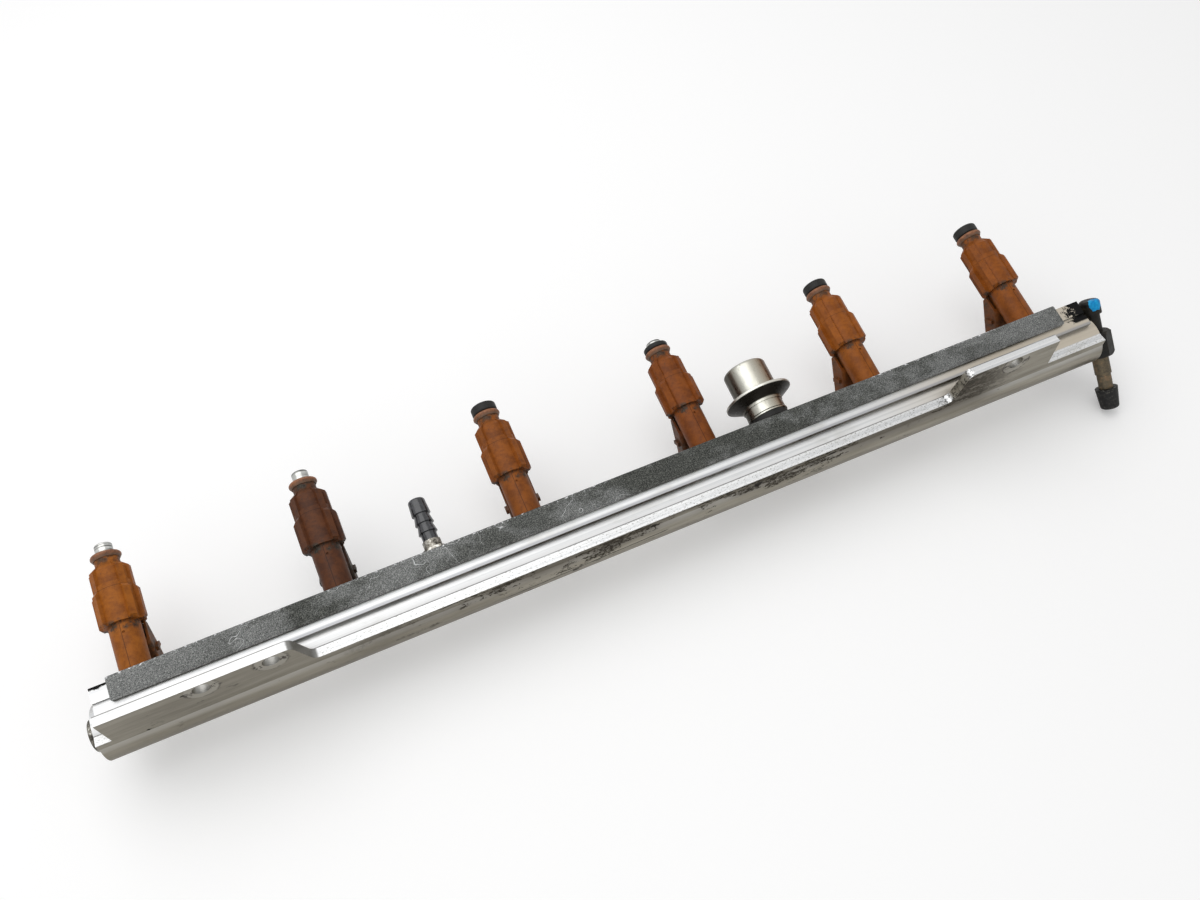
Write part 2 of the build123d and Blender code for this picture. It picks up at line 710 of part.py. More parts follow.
def dust_cap():
    """Tapered cap screwed over the test valve."""
    height = cap_start - cap_end
    cap = tee_place().offset(cap_end) * Cone(cap_end_radius, cap_open_radius, height,
                                             align=(Align.CENTER, Align.CENTER, Align.MIN))
    end = cap.edges().filter_by(GeomType.CIRCLE).sort_by(Axis.Z)[0]
    cap = fillet(end, cap_edge_radius)
    return cap - leaning_rod(valve_tip_radius, valve_tip_end - cap_clearance, cap_start)


def place_injector(solids, index):
    """Turn a piece about its injector's axis and move it to its cylinder."""
    group = solids if isinstance(solids, list) else [solids]
    angle = injector_clocking[index % len(injector_clocking)]
    x = index * injector_pitch
    return [s.rotate(Axis.Y, angle).moved(Location((x, 0, 0))) for s in group]


def save(name, solids):
    """Turn one node until the plate is upright, move it to the mounting frame and write it."""
    group = solids if isinstance(solids, list) else [solids]
    shift = Location(tuple(-value for value in origin_point))
    moved = [s.rotate(Axis.X, injector_tilt).moved(shift) for s in group]
    shape = moved[0] if len(moved) == 1 else Compound(children=moved)
    export_step(shape, "parts/" + name + ".step")


def save_injectors():
    """Write every injector as its own set of nodes."""
    housing = injector_housing()
    cartridge = injector_cartridge()
    for index in range(injector_count):
        number = index + 1
        prefix = "injector_" + str(number)
        save(prefix + "_housing", place_injector(housing, index))
        save(prefix + "_cartridge", place_injector(cartridge, index))
        save(prefix + "_nozzle_ring", place_injector(nozzle_ring(), index))
        save(prefix + "_inlet_seal", place_injector(inlet_seal(), index))
        save(prefix + "_inlet_filter", place_injector(inlet_filter(), index))
        save(prefix + "_terminals", place_injector(terminal_blades(), index))
        if number in tall_sealed:
            save(prefix + "_nozzle_seal", place_injector(nozzle_seal(tall_seal_width), index))
        if number in short_sealed:
            save(prefix + "_nozzle_seal", place_injector(nozzle_seal(short_seal_width), index))


def main():
    """Build every piece and write one file for each."""
    os.makedirs("parts", exist_ok=True)
    save("rail_extrusion", rail_extrusion())
    save("retainer_strip", retainer_strip())
    save("left_end_plug", left_end_plug())
    save("hose_fitting", hose_fitting())
    save("hose_nipple", hose_nipple())
    save("damper_can", damper_can())
    save("damper_dust_ring", damper_dust_ring())
    save("damper_seal", damper_seal())
    save("tee_fitting", tee_fitting())
    save("valve_stem", valve_stem())
    save("valve_core", valve_core())
    save("dust_cap", dust_cap())
    save_injectors()


main()
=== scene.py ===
from math import pi, radians

import bmesh
import bpy
from mathutils import Matrix, Vector


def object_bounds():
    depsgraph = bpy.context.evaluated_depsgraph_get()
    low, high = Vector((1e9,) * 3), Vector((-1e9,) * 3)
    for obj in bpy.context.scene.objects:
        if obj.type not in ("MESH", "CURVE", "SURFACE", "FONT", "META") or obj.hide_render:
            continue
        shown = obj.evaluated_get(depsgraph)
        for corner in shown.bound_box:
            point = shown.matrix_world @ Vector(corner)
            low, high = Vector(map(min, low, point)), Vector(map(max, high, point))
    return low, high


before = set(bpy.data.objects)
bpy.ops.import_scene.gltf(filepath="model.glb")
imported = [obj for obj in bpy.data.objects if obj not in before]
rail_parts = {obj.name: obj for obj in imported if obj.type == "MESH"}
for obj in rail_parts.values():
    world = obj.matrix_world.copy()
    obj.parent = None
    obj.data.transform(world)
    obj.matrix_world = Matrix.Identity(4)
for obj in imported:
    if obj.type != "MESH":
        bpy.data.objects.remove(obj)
cad_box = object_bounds()

# Lengths are metres. The injectors lean back from the upright lugs, and the origin is the
# mounting bolts' centre. The damper, nipple and tee are placed along the rail from injector 1.
INJECTOR_TILT = radians(11.5)
BOLT_CENTRE = Vector((0.2734, -0.0067, 0.0276))
INJECTOR_PITCH = 0.1036
CONNECTOR_TURNS = [radians(a) for a in (0.0, -2.0, -4.0, 1.0, 6.0, 4.0)]
DAMPER_X = 0.3514
NIPPLE_X = 0.1552
TEE_X = 0.554
TEE_LEAN = radians(57.0) - INJECTOR_TILT

# Landmarks on the rail: x along it from the origin, y back from the lugs' back faces, z up
LUG_TOP = cad_box[1].z
LEDGE_TOP = -0.0153
BLOCK_FRONT = 0.0058
BLOCK_BACK = 0.0208
LEFT_LUG_FOOT = -0.193
RIGHT_LUG_FOOT = 0.172
BOLT_HOLES_X = [-0.2401, -0.2072, 0.2072]
BOLT_HOLE_RADIUS = 0.00425
WASHER_RADIUS = 0.0078

# Landmarks along an injector, out from the tube's axis
RIBS_START = 0.0473
RIBS_STEP = 0.0658
NECK_START = 0.0770
RING_MIDDLE = 0.0850

# Sizes of the damper, out from its own axis and from the tube's
DAMPER_NECK_RADIUS = 0.0118
DAMPER_RIM_RADIUS = 0.0192
DAMPER_RIM_FRONT = 0.0372

# In the tee's own frame, whose z runs along it to the head
BLUE_DAB = Vector((0.0004, -0.0046, 0.0190))
BLUE_DAB_RADIUS = 0.0044
CAP_RIM = -0.0352

# Black blobs on the rail's front: place along the rail, height, size
BLACK_BLOBS = [(0.0516, -0.0193, 0.0016), (0.0967, -0.0188, 0.0013), (-0.0091, -0.0189, 0.0012),
               (-0.0550, -0.0281, 0.0011), (-0.0800, -0.0310, 0.0012), (-0.2717, -0.0189, 0.0008),
               (-0.2480, 0.0005, 0.0010)]

# Each injector's plastic: dark and light shade, grime and painted shade on the barrel, grime on the
# connector
PLASTICS = [((0.20, 0.056, 0.006), (0.36, 0.112, 0.012), 0.85, 1.0),
            ((0.055, 0.018, 0.008), (0.115, 0.038, 0.013), 0.95, 1.0),
            ((0.15, 0.041, 0.006), (0.29, 0.085, 0.011), 0.85, 0.6),
            ((0.135, 0.034, 0.005), (0.25, 0.069, 0.010), 0.9, 0.8),
            ((0.185, 0.049, 0.005), (0.33, 0.097, 0.011), 0.8, 0.6),
            ((0.165, 0.044, 0.005), (0.30, 0.085, 0.010), 0.85, 0.7)]


class NodeWork:
    """The nodes of one material or world. A value is a number or another node's socket."""

    def __init__(self, tree):
        self.nodes = tree.nodes
        self.links = tree.links

    def feed(self, socket, value):
        """Link a socket, or set it to a number, a vector or a colour of three numbers."""
        if isinstance(value, bpy.types.NodeSocket):
            self.links.new(value, socket)
        elif socket.type == "RGBA":
            socket.default_value = (*value, 1.0)
        else:
            socket.default_value = value

    def maths(self, operation, *values):
        node = self.nodes.new("ShaderNodeMath")
        node.operation = operation
        for socket, value in zip(node.inputs, values):
            self.feed(socket, value)
        return node.outputs[0]

    def times(self, first, *others):
        """The product of all the values."""
        for other in others:
            first = self.maths("MULTIPLY", first, other)
        return first

    def most(self, first, *others):
        """The largest of all the values."""
        for other in others:
            first = self.maths("MAXIMUM", first, other)
        return first

    def scaled(self, value, factor, base):
        """The value times factor, added to base."""
        return self.maths("MULTIPLY_ADD", value, factor, base)

    def ragged(self, value, cloud, size):
        """The value, made uneven by a noise from 0 to 1 that moves it by size in all."""
        return self.scaled(self.maths("SUBTRACT", cloud, 0.5), size, value)

    def distance(self, *sides):
        """The length of the diagonal over sides at right angles."""
        squares = 0.0
        for side in sides:
            squares = self.scaled(side, side, squares)
        return self.maths("SQRT", squares)

    def fade(self, value, low, high, start=0.0, end=1.0):
        """A smooth change from start to end as value goes from low to high."""
        node = self.nodes.new("ShaderNodeMapRange")
        node.interpolation_type = "SMOOTHSTEP"
        for socket, number in zip(node.inputs, (value, low, high, start, end)):
            self.feed(socket, number)
        return node.outputs[0]

    def band(self, value, low, high, soft):
        """1 between low and high, fading to 0 over soft on each side."""
        rise = self.fade(value, low - soft, low)
        fall = self.fade(value, high, high + soft, 1.0, 0.0)
        return self.times(rise, fall)

    def shift(self, point, location=(0, 0, 0), rotation=(0, 0, 0), scale=(1, 1, 1)):
        node = self.nodes.new("ShaderNodeMapping")
        for socket, value in zip(node.inputs, (point, location, rotation, scale)):
            self.feed(socket, value)
        return node.outputs[0]

    def split(self, vector):
        node = self.nodes.new("ShaderNodeSeparateXYZ")
        self.feed(node.inputs[0], vector)
        return node.outputs[0], node.outputs[1], node.outputs[2]


class Finish(NodeWork):
    """A procedural finish: a shader, and the nodes that vary it over the piece.

    Its place, x, y and z are the piece's Object coordinates, moved and turned by stance, which
    is a location and a rotation. Colours are laid over one another until done() uses them.
    """

    def __init__(self, name, stance=((0, 0, 0), (0, 0, 0)), metallic=0.0, roughness=0.5):
        self.material = bpy.data.materials.new(name)
        self.material.use_nodes = True
        super().__init__(self.material.node_tree)
        self.shader = self.nodes["Principled BSDF"]
        self.put("Metallic", metallic)
        self.put("Roughness", roughness)
        self.colour = (0.5, 0.5, 0.5)
        self.relief = None
        self.place = self.shift(self.nodes.new("ShaderNodeTexCoord").outputs["Object"], *stance)
        self.x, self.y, self.z = self.split(self.place)

    def put(self, socket, value):
        """Set or link one of the shader's sockets."""
        self.feed(self.shader.inputs[socket], value)

    def facing(self):
        """The surface's direction in the rail's frame, as three numbers."""
        return self.split(self.nodes.new("ShaderNodeNewGeometry").outputs["Normal"])

    def noise(self, scale, detail=3.0, roughness=0.55, stretch=(1, 1, 1)):
        """A noise from 0 to 1, finer along the axes where stretch is large."""
        node = self.nodes.new("ShaderNodeTexNoise")
        point = self.place if stretch == (1, 1, 1) else self.shift(self.place, scale=stretch)
        self.feed(node.inputs["Vector"], point)
        node.inputs["Scale"].default_value = scale
        node.inputs["Detail"].default_value = detail
        node.inputs["Roughness"].default_value = roughness
        return node.outputs[0]

    def shades(self, value, *stops):
        """Colours along value: each stop is a place from 0 to 1 and a colour."""
        node = self.nodes.new("ShaderNodeValToRGB")
        self.feed(node.inputs[0], value)
        elements = node.color_ramp.elements
        while len(elements) < len(stops):
            elements.new(0.5)
        for element, (place, colour) in zip(elements, stops):
            element.position = place
            element.color = (*colour, 1.0)
        return node.outputs[0]

    def blend(self, amount, under, over):
        """The colour under, covered by the colour over where amount is 1."""
        node = self.nodes.new("ShaderNodeMix")
        node.data_type = "RGBA"
        self.feed(node.inputs[0], amount)
        self.feed(node.inputs[6], under)
        self.feed(node.inputs[7], over)
        return node.outputs[2]

    def cover(self, amount, colour, strength=1.0):
        """Lay a colour over those so far, where amount is 1."""
        if strength < 1.0:
            amount = self.times(amount, strength)
        self.colour = self.blend(amount, self.colour, colour)

    def raise_by(self, height, distance, strength):
        """Bump from height, on top of any bump so far."""
        node = self.nodes.new("ShaderNodeBump")
        node.inputs["Strength"].default_value = strength
        node.inputs["Distance"].default_value = distance
        self.feed(node.inputs["Height"], height)
        if self.relief is not None:
            self.links.new(self.relief, node.inputs["Normal"])
        self.relief = node.outputs[0]

    def done(self):
        """The material, with its colours and its bump on the shader."""
        self.put("Base Color", self.colour)
        if self.relief is not None:
            self.put("Normal", self.relief)
        return self.material


def socket_stance(x=0.0, turn=0.0):
    """Frame of the piece whose axis leaves the rail at x along +Y, turned about that axis."""
    tilt = Matrix.Rotation(-INJECTOR_TILT, 3, "X")
    spin = Matrix.Rotation(-turn, 3, "Y")
    return spin @ (tilt @ BOLT_CENTRE - Vector((x, 0, 0))), (-INJECTOR_TILT, -turn, 0.0)


def tee_stance():
    """Frame of the leaning tee: z runs along its axis to the head."""
    tilt = Matrix.Rotation(INJECTOR_TILT, 3, "X")
    lean = Matrix.Rotation(TEE_LEAN, 3, "X")
    return lean @ (BOLT_CENTRE - tilt @ Vector((TEE_X, 0, 0))), (TEE_LEAN, 0.0, 0.0)


class RailFinish(Finish):
    """Drawn aluminium of the rail, from the clean metal to dirt, stain and flaked paint."""

    def __init__(self):
        super().__init__("milled_rail_aluminium")
        self.nx, self.ny, self.nz = self.facing()

        # Where the faces look up, where they look to the front, and the plate with its lugs
        self.up = self.fade(self.nz, 0.25, 0.80)
        self.front = self.fade(self.ny, -0.35, -0.70)
        self.plate = self.fade(self.y, 0.0004, 0.0001)

        # Fine lines along the rail, soft clouds, blotches and ragged flakes
        self.drawn = self.noise(60, 4, 0.6, (0.03, 14, 14))
        self.cloudy = self.noise(26, 3, 0.5, (0.5, 1, 1))
        self.blotch = self.noise(95, 5, 0.62, (0.35, 1, 1.6))
        self.flake = self.noise(210, 5, 0.75)

    def metal(self):
        """Bright on top, streaky taupe on the faces below: partly the metal's own finish, partly painted
        light that lights the tops and shades the fronts.
        """
        bright = self.shades(self.drawn, (0.3, (0.53, 0.54, 0.55)), (0.7, (0.74, 0.74, 0.735)))
        streaky = self.noise(140, 5, 0.7, (0.12, 1, 1.6))
        mottled = self.scaled(streaky, 0.6, self.times(self.cloudy, 0.4))
        dull = self.shades(mottled, (0.36, (0.215, 0.195, 0.155)), (0.52, (0.34, 0.315, 0.26)),
                           (0.66, (0.44, 0.41, 0.35)))
        # Up-facing faces get the bright colour and front faces the taupe: partly painted light from above
        self.colour = self.blend(self.up, dull, bright)
        worn = self.times(self.up, self.fade(self.blotch, 0.52, 0.70, 0.0, 0.35))
        self.cover(worn, (0.42, 0.41, 0.37))

    def tints(self):
        """Beige on top towards the tee, the walls behind the plate lightened to grey as painted light, a
        painted shade band along the top of the block's front edge, brown below, pale underneath.
        """
        tan = self.times(self.up, self.fade(self.x, 0.11, 0.21), self.fade(self.y, 0.0001, 0.0004))
        self.cover(tan, (0.46, 0.40, 0.31), 0.85)
        # Painted light: the walls behind the plate are lightened to a pale grey
        inner_wall_light = self.times(self.fade(self.nz, 0.30, 0.05), self.fade(self.y, 0.001, 0.004))
        self.cover(inner_wall_light, (0.38, 0.395, 0.41), 0.8)
        # Painted shade: a soft grey band along the top of the block's front edge
        block_edge_shade = self.band(self.y, BLOCK_FRONT - 0.0002, BLOCK_FRONT + 0.0006, 0.0016)
        block_edge_shade = self.times(block_edge_shade, self.fade(self.z, -0.0125, -0.0115))
        self.cover(block_edge_shade, (0.27, 0.28, 0.295), 0.75)
        self.cover(self.fade(self.z, -0.0245, -0.0300), (0.23, 0.215, 0.175), 0.55)
        self.cover(self.fade(self.z, -0.0335, -0.0370), (0.50, 0.475, 0.41), 0.6)

    def crease_shade_lines(self):
        """Painted shade: dark lines in the crease behind the ledge, in the gap behind the lugs' tops and at
        the step where the crown meets the block, broken into patches.
        """
        crease = self.times(self.band(self.y, 0.00005, 0.00025, 0.0002),
                            self.band(self.z, LEDGE_TOP - 0.0005, LEDGE_TOP + 0.0007, 0.0003),
                            self.fade(self.x, 0.20, 0.24, 1.0, 0.3))
        step = self.times(self.band(self.y, BLOCK_FRONT - 0.0006, BLOCK_FRONT + 0.0002, 0.0012),
                          self.fade(self.z, -0.0095, -0.0125, 0.0, 0.18))
        lug_back = self.times(self.band(self.y, -0.0004, 0.0, 0.0002),
                              self.fade(self.z, LUG_TOP - 0.0008, LUG_TOP - 0.0002))
        broken = self.fade(self.blotch, 0.30, 0.45, 0.55, 1.0)
        # The painted shade lines, laid over the metal
        self.cover(self.times(self.most(crease, step, lug_back), broken), (0.07, 0.065, 0.055), 0.75)

    def cut_faces(self):
        """A dark cut end on the left lug, and black dirt at the right lug's foot."""
        across = self.fade(self.maths("ABSOLUTE", self.nx), 0.25, 0.5)
        left_cut = self.times(across, self.plate, self.fade(self.z, -0.0165, -0.0150),
                              self.band(self.x, LEFT_LUG_FOOT - 0.009, LEFT_LUG_FOOT + 0.009, 0.001))
        self.cover(left_cut, (0.15, 0.145, 0.13), 0.8)
        foot = self.times(self.band(self.x, RIGHT_LUG_FOOT - 0.006, RIGHT_LUG_FOOT + 0.006, 0.004),
                          self.plate, self.fade(self.noise(520, 5, 0.75), 0.50, 0.56),
                          self.fade(self.z, -0.0190, -0.0160))
        self.cover(foot, (0.03, 0.027, 0.022), 0.85)

    def sawn_ledge(self):
        """White metal with dark pits on the ledge, fainter on the lugs' tops. Returns the pits."""
        pits = self.fade(self.noise(2100, 3, 0.7, (0.35, 1, 1)), 0.56, 0.64)
        pits = self.times(pits, self.fade(self.nz, 0.985, 0.995), self.fade(self.y, 0.0006, 0.0001))
        density = self.scaled(self.fade(self.z, -0.010, -0.014), 0.75, 0.25)
        self.cover(self.times(pits, density), (0.17, 0.165, 0.145), 0.85)
        return pits

    def smear(self):
        """A darker front towards the plug, and a brown smear below the ledge."""
        self.cover(self.times(self.front, self.fade(self.x, -0.02, -0.20, 0.0, 0.40)), (0.13, 0.115, 0.085))
        patches = self.fade(self.noise(34, 4, 0.6, (0.35, 1, 1)), 0.36, 0.60, 0.25, 0.85)
        patches = self.most(patches, self.fade(self.x, 0.05, 0.12, 0.0, 0.85))
        smear = self.times(self.fade(self.x, -0.20, -0.15), self.fade(self.x, 0.210, 0.185),
                           self.fade(self.z, -0.0265, -0.0185), patches, self.front)
        self.cover(smear, (0.105, 0.090, 0.066))

    def stain(self):
        """Black stain below the ledge, strongest in the middle of the rail. Returns where it is."""
        rough = self.noise(240, 6, 0.72, (0.5, 1, 1.2))
        patchy = self.fade(self.noise(17, 2, 0.5), 0.4, 0.6)
        specks = self.noise(900, 4, 0.8, (0.6, 1, 1))
        limit = self.scaled(self.fade(self.z, -0.0245, LEDGE_TOP - 0.0002), -0.13, 0.66)
        limit = self.scaled(patchy, -0.07, limit)
        mixed = self.ragged(self.blotch, rough, 0.60)
        mixed = self.ragged(mixed, specks, 0.35)
        stain = self.times(self.fade(self.maths("SUBTRACT", mixed, limit), -0.01, 0.03),
                           self.fade(self.x, -0.20, -0.11), self.fade(self.x, 0.225, 0.175),
                           self.front, self.fade(self.z, -0.0320, -0.0235))
        thin = self.fade(specks, 0.40, 0.56, 0.35, 0.95)
        self.cover(self.times(stain, thin), (0.026, 0.021, 0.014))
        return stain

    def marks(self):
        """A line scored along the tube, and blobs of old sealant. Returns where they are."""
        line_slope = -0.033
        line_middle = -0.02513
        height = self.scaled(self.x, line_slope, self.ragged(self.z, self.flake, 0.0012))
        marks = self.times(self.band(height, line_middle - 0.00015, line_middle + 0.00015, 0.00022),
                           self.band(self.x, -0.092, -0.0045, 0.004), self.front)
        for blob_x, blob_z, size in BLACK_BLOBS:
            along = self.times(self.maths("SUBTRACT", self.x, blob_x), 0.45)
            away = self.distance(along, self.maths("SUBTRACT", self.z, blob_z))
            away = self.ragged(away, self.flake, 0.0030)
            marks = self.most(marks, self.fade(away, size, 0.55 * size))
        marks = self.times(marks, self.fade(self.y, 0.0005, -0.0003))
        self.cover(marks, (0.015, 0.013, 0.011), 0.92)
        return marks

    def light_dirt(self):
        """Spots of dirt all along the front."""
        dirt = self.fade(self.noise(160, 4, 0.7, (0.5, 1, 1)), 0.64, 0.74)
        self.cover(self.times(dirt, self.front), (0.08, 0.07, 0.055), 0.7)

    def washer_mark(self, hole_x):
        """Metal rubbed pale by a washer, its dark rim, smudges beside the hole and a dull bore."""
        away = self.distance(self.maths("SUBTRACT", self.x, hole_x), self.z)
        worn = self.band(away, BOLT_HOLE_RADIUS, WASHER_RADIUS, 0.0004)
        self.cover(self.times(worn, self.front), (0.50, 0.48, 0.43), 0.35)
        rim = self.band(self.ragged(away, self.flake, 0.0022), WASHER_RADIUS, WASHER_RADIUS + 0.0005, 0.0005)
        rim = self.times(rim, self.fade(self.noise(300, 2), 0.40, 0.55), self.front)
        rim_strength = 0.85 if hole_x > 0 else 0.5
        self.cover(rim, (0.07, 0.06, 0.05), rim_strength)
        smudge = self.times(self.band(away, BOLT_HOLE_RADIUS, WASHER_RADIUS + 0.0007, 0.0012),
                            self.band(self.z, -0.0026, 0.0004, 0.0008),
                            self.fade(self.noise(420, 4, 0.75), 0.50, 0.56), self.front)
        self.cover(smudge, (0.06, 0.05, 0.04))
        bore = self.fade(away, BOLT_HOLE_RADIUS + 0.00010, BOLT_HOLE_RADIUS + 0.00001)
        bore = self.times(bore, self.fade(self.front, 0.5, 0.2))
        self.cover(bore, (0.25, 0.24, 0.21), 0.7)

    def flaked_paint(self):
        """Black paint on the block at the tee, and a thin line at the plug's end. Returns where."""
        paint_start = 0.2596
        end = self.ragged(self.x, self.flake, 0.030)
        chips = self.fade(self.noise(330, 4, 0.75), 0.60, 0.57)
        whole = self.fade(self.x, paint_start + 0.0049, paint_start + 0.0059)
        painted = self.times(self.fade(end, paint_start - 0.0004, paint_start + 0.0004),
                             self.fade(self.y, 0.0085, 0.0095), self.most(chips, whole))
        edge = self.ragged(self.y, self.flake, 0.004)
        line = self.times(self.fade(edge, BLOCK_BACK - 0.0014, BLOCK_BACK - 0.0008),
                          self.fade(self.x, -0.270, -0.275), self.fade(self.z, -0.0105, -0.0090))
        black = self.most(painted, line)
        self.cover(black, (0.004, 0.004, 0.004))
        return black


def rail_finish():
    f = RailFinish()
    f.metal()
    f.tints()
    f.crease_shade_lines()
    f.cut_faces()
    pits = f.sawn_ledge()
    f.smear()
    stain = f.stain()
    marks = f.marks()
    f.light_dirt()
    for hole_x in BOLT_HOLES_X:
        f.washer_mark(hole_x)
    paint = f.flaked_paint()
    covered = f.most(paint, stain, marks)
    f.put("Metallic", f.scaled(covered, -0.80, 0.82))
    f.put("Specular IOR Level", f.scaled(covered, -0.40, 0.50))
    f.put("Roughness", f.scaled(covered, 0.2, f.fade(f.cloudy, 0.2, 0.8, 0.32, 0.50)))
    f.raise_by(f.drawn, 0.00006, 0.5)
    f.raise_by(pits, 0.00010, -0.7)
    f.raise_by(paint, 0.00008, 0.6)
    return f.done()


def strip_finish():
    """Dark speckled coating on the steel strip, scratched to white metal here and there."""
    f = Finish("speckled_strip_coating", metallic=0.35)
    grain = f.noise(1900, 3, 0.85)
    cloudy = f.fade(f.noise(42, 5, 0.65, (0.7, 1, 1)), 0.46, 0.62)
    worn = f.noise(9, 2, 0.5)
    dark = f.shades(grain, (0.38, (0.014, 0.015, 0.013)), (0.50, (0.040, 0.042, 0.038)),
                    (0.62, (0.14, 0.145, 0.13)))
    pale = f.shades(grain, (0.36, (0.060, 0.063, 0.061)), (0.50, (0.155, 0.16, 0.157)),
                    (0.64, (0.36, 0.365, 0.355)))
    ends = f.most(f.fade(f.x, -0.19, -0.25), f.fade(f.x, 0.175, 0.24))
    amount = f.scaled(cloudy, 0.65, f.times(ends, 0.65))
    amount = f.scaled(f.fade(worn, 0.45, 0.65), 0.25, amount)
    f.colour = f.blend(f.maths("MINIMUM", amount, 1.0), dark, pale)

    # Hair scratches in patches and near the second injector, chips on the back edge, bare spots
    hair = f.maths("ABSOLUTE", f.maths("SUBTRACT", f.noise(60, 2, 0.5), 0.54))
    patches = f.most(f.fade(f.noise(21, 1), 0.57, 0.62), f.band(f.x, -0.185, -0.135, 0.020))
    scratches = f.times(f.fade(hair, 0.0016, 0.0007), patches)
    chips = f.times(f.fade(f.noise(420, 4, 0.8), 0.56, 0.60), f.fade(f.y, BLOCK_BACK, BLOCK_BACK + 0.001),
                    f.fade(worn, 0.44, 0.52), f.fade(f.z, -0.0080, -0.0066))
    bare = f.fade(f.noise(150, 5, 0.8), 0.735, 0.75)
    f.cover(f.most(scratches, chips, bare), (0.86, 0.87, 0.88), 0.85)
    f.put("Specular IOR Level", 0.25)
    f.put("Roughness", f.fade(grain, 0.3, 0.7, 0.70, 0.48))
    f.raise_by(grain, 0.00005, 0.6)
    return f.done()


def housing_finish(index):
    """Aged orange-brown plastic with painted shade under the shoulder and black grime on the connector."""
    deep, light, grime, low_grime = PLASTICS[index]
    stance = socket_stance(index * INJECTOR_PITCH, CONNECTOR_TURNS[index])
    f = Finish("aged_brown_plastic_%d" % (index + 1), stance)
    cloudy = f.noise(150, 6, 0.72)
    fine = f.noise(900, 3, 0.6)
    patch = f.noise(240, 5, 0.7)
    # Lighter towards the top of the barrel: painted light, mixed with the plastic's own cloudy tone
    cloudy_painted_light = f.times(f.fade(cloudy, 0.30, 0.66), f.fade(f.z, -0.0060, 0.0050, 0.25, 1.0))
    f.colour = f.blend(cloudy_painted_light, deep, light)
    f.cover(f.fade(fine, 0.60, 0.75, 0.0, 0.25), tuple(0.45 * c for c in deep))

    # Painted shade just under the ribs' shoulder, mottled like grime; grime round the neck, on the
    # connector's side and in spots; dark patches on the lower side
    shoulder_shade = f.times(f.band(f.y, RIBS_START - 0.0033, RIBS_START, 0.0024), f.fade(patch, 0.44, 0.62))
    neck = f.times(f.fade(f.y, NECK_START, NECK_START + 0.0055), f.fade(patch, 0.40, 0.60))
    low = f.times(f.fade(f.z, -0.0030, -0.0075), f.fade(f.y, 0.0475, 0.0465),
                  f.fade(patch, 0.36, 0.60, 0.35 * low_grime, low_grime))
    ribs_below = f.times(f.fade(f.z, -0.0020, -0.0080), f.fade(patch, 0.42, 0.60, 0.0, 0.5))
    spots = f.times(f.fade(f.noise(330, 4, 0.75), 0.67, 0.72), 0.6)
    soot_and_shade = f.shades(fine, (0.35, (0.010, 0.009, 0.007)), (0.65, (0.060, 0.054, 0.040)))
    f.cover(f.most(shoulder_shade, neck, low, ribs_below, spots), soot_and_shade, grime)

    # Mould seams: one along the barrel's top, one round the ribs
    along = f.times(f.band(f.x, -0.00012, 0.00012, 0.00012), f.fade(f.z, 0.004, 0.006),
                    f.fade(f.y, 0.0470, 0.0465))
    across = f.times(f.band(f.y, RIBS_STEP - 0.0001, RIBS_STEP + 0.0001, 0.00014),
                     f.fade(f.z, 0.002, 0.004), 0.7)
    seam = f.most(along, across)
    f.cover(seam, tuple(0.25 * c for c in deep), 0.7)
    f.put("Roughness", f.fade(cloudy, 0.25, 0.75, 0.38, 0.56))
    f.put("Specular IOR Level", 0.16)
    f.put("Coat Weight", 0.03)
    f.put("Coat Roughness", 0.3)
    f.raise_by(fine, 0.00005, 0.35)
    f.raise_by(seam, 0.00010, -0.6)
    return f.done()


def nozzle_finish():
    """Bright turned steel of the injector's tip, with a few dark rings."""
    f = Finish("bright_nozzle_steel", socket_stance(), metallic=1.0)
    rings = f.noise(900, 2, 0.5, (0.05, 1, 0.05))
    f.colour = f.shades(rings, (0.40, (0.09, 0.09, 0.085)), (0.50, (0.44, 0.44, 0.42)),
                        (0.7, (0.62, 0.62, 0.60)))
    f.cover(f.fade(f.noise(700, 4, 0.7), 0.60, 0.72), (0.05, 0.045, 0.04), 0.7)
    f.put("Roughness", f.fade(rings, 0.3, 0.7, 0.34, 0.20))
    f.raise_by(rings, 0.00004, 0.5)
    return f.done()


def ring_finish():
    """Brown clip ring, duller than the housing, with painted shade on its side towards the rail."""
    f = Finish("brown_clip_ring", socket_stance())
    cloudy = f.noise(420, 4, 0.7)
    f.colour = f.shades(cloudy, (0.35, (0.13, 0.045, 0.016)), (0.65, (0.33, 0.13, 0.052)))
    # Painted shade: darker on the ring's side towards the rail
    f.cover(f.fade(f.y, RING_MIDDLE, RING_MIDDLE - 0.0015), (0.075, 0.06, 0.04), 0.6)
    f.raise_by(cloudy, 0.00006, 0.4)
    return f.done()


def rubber_finish():
    """Black rubber of the seals, a little dusty."""
    f = Finish("black_seal_rubber", socket_stance())
    grain = f.noise(1300, 4, 0.7)
    f.colour = f.shades(grain, (0.35, (0.005, 0.005, 0.005)), (0.70, (0.026, 0.025, 0.023)))
    f.put("Specular IOR Level", 0.25)
    f.put("Roughness", f.fade(grain, 0.3, 0.7, 0.36, 0.60))
    f.raise_by(grain, 0.00007, 0.5)
    return f.done()


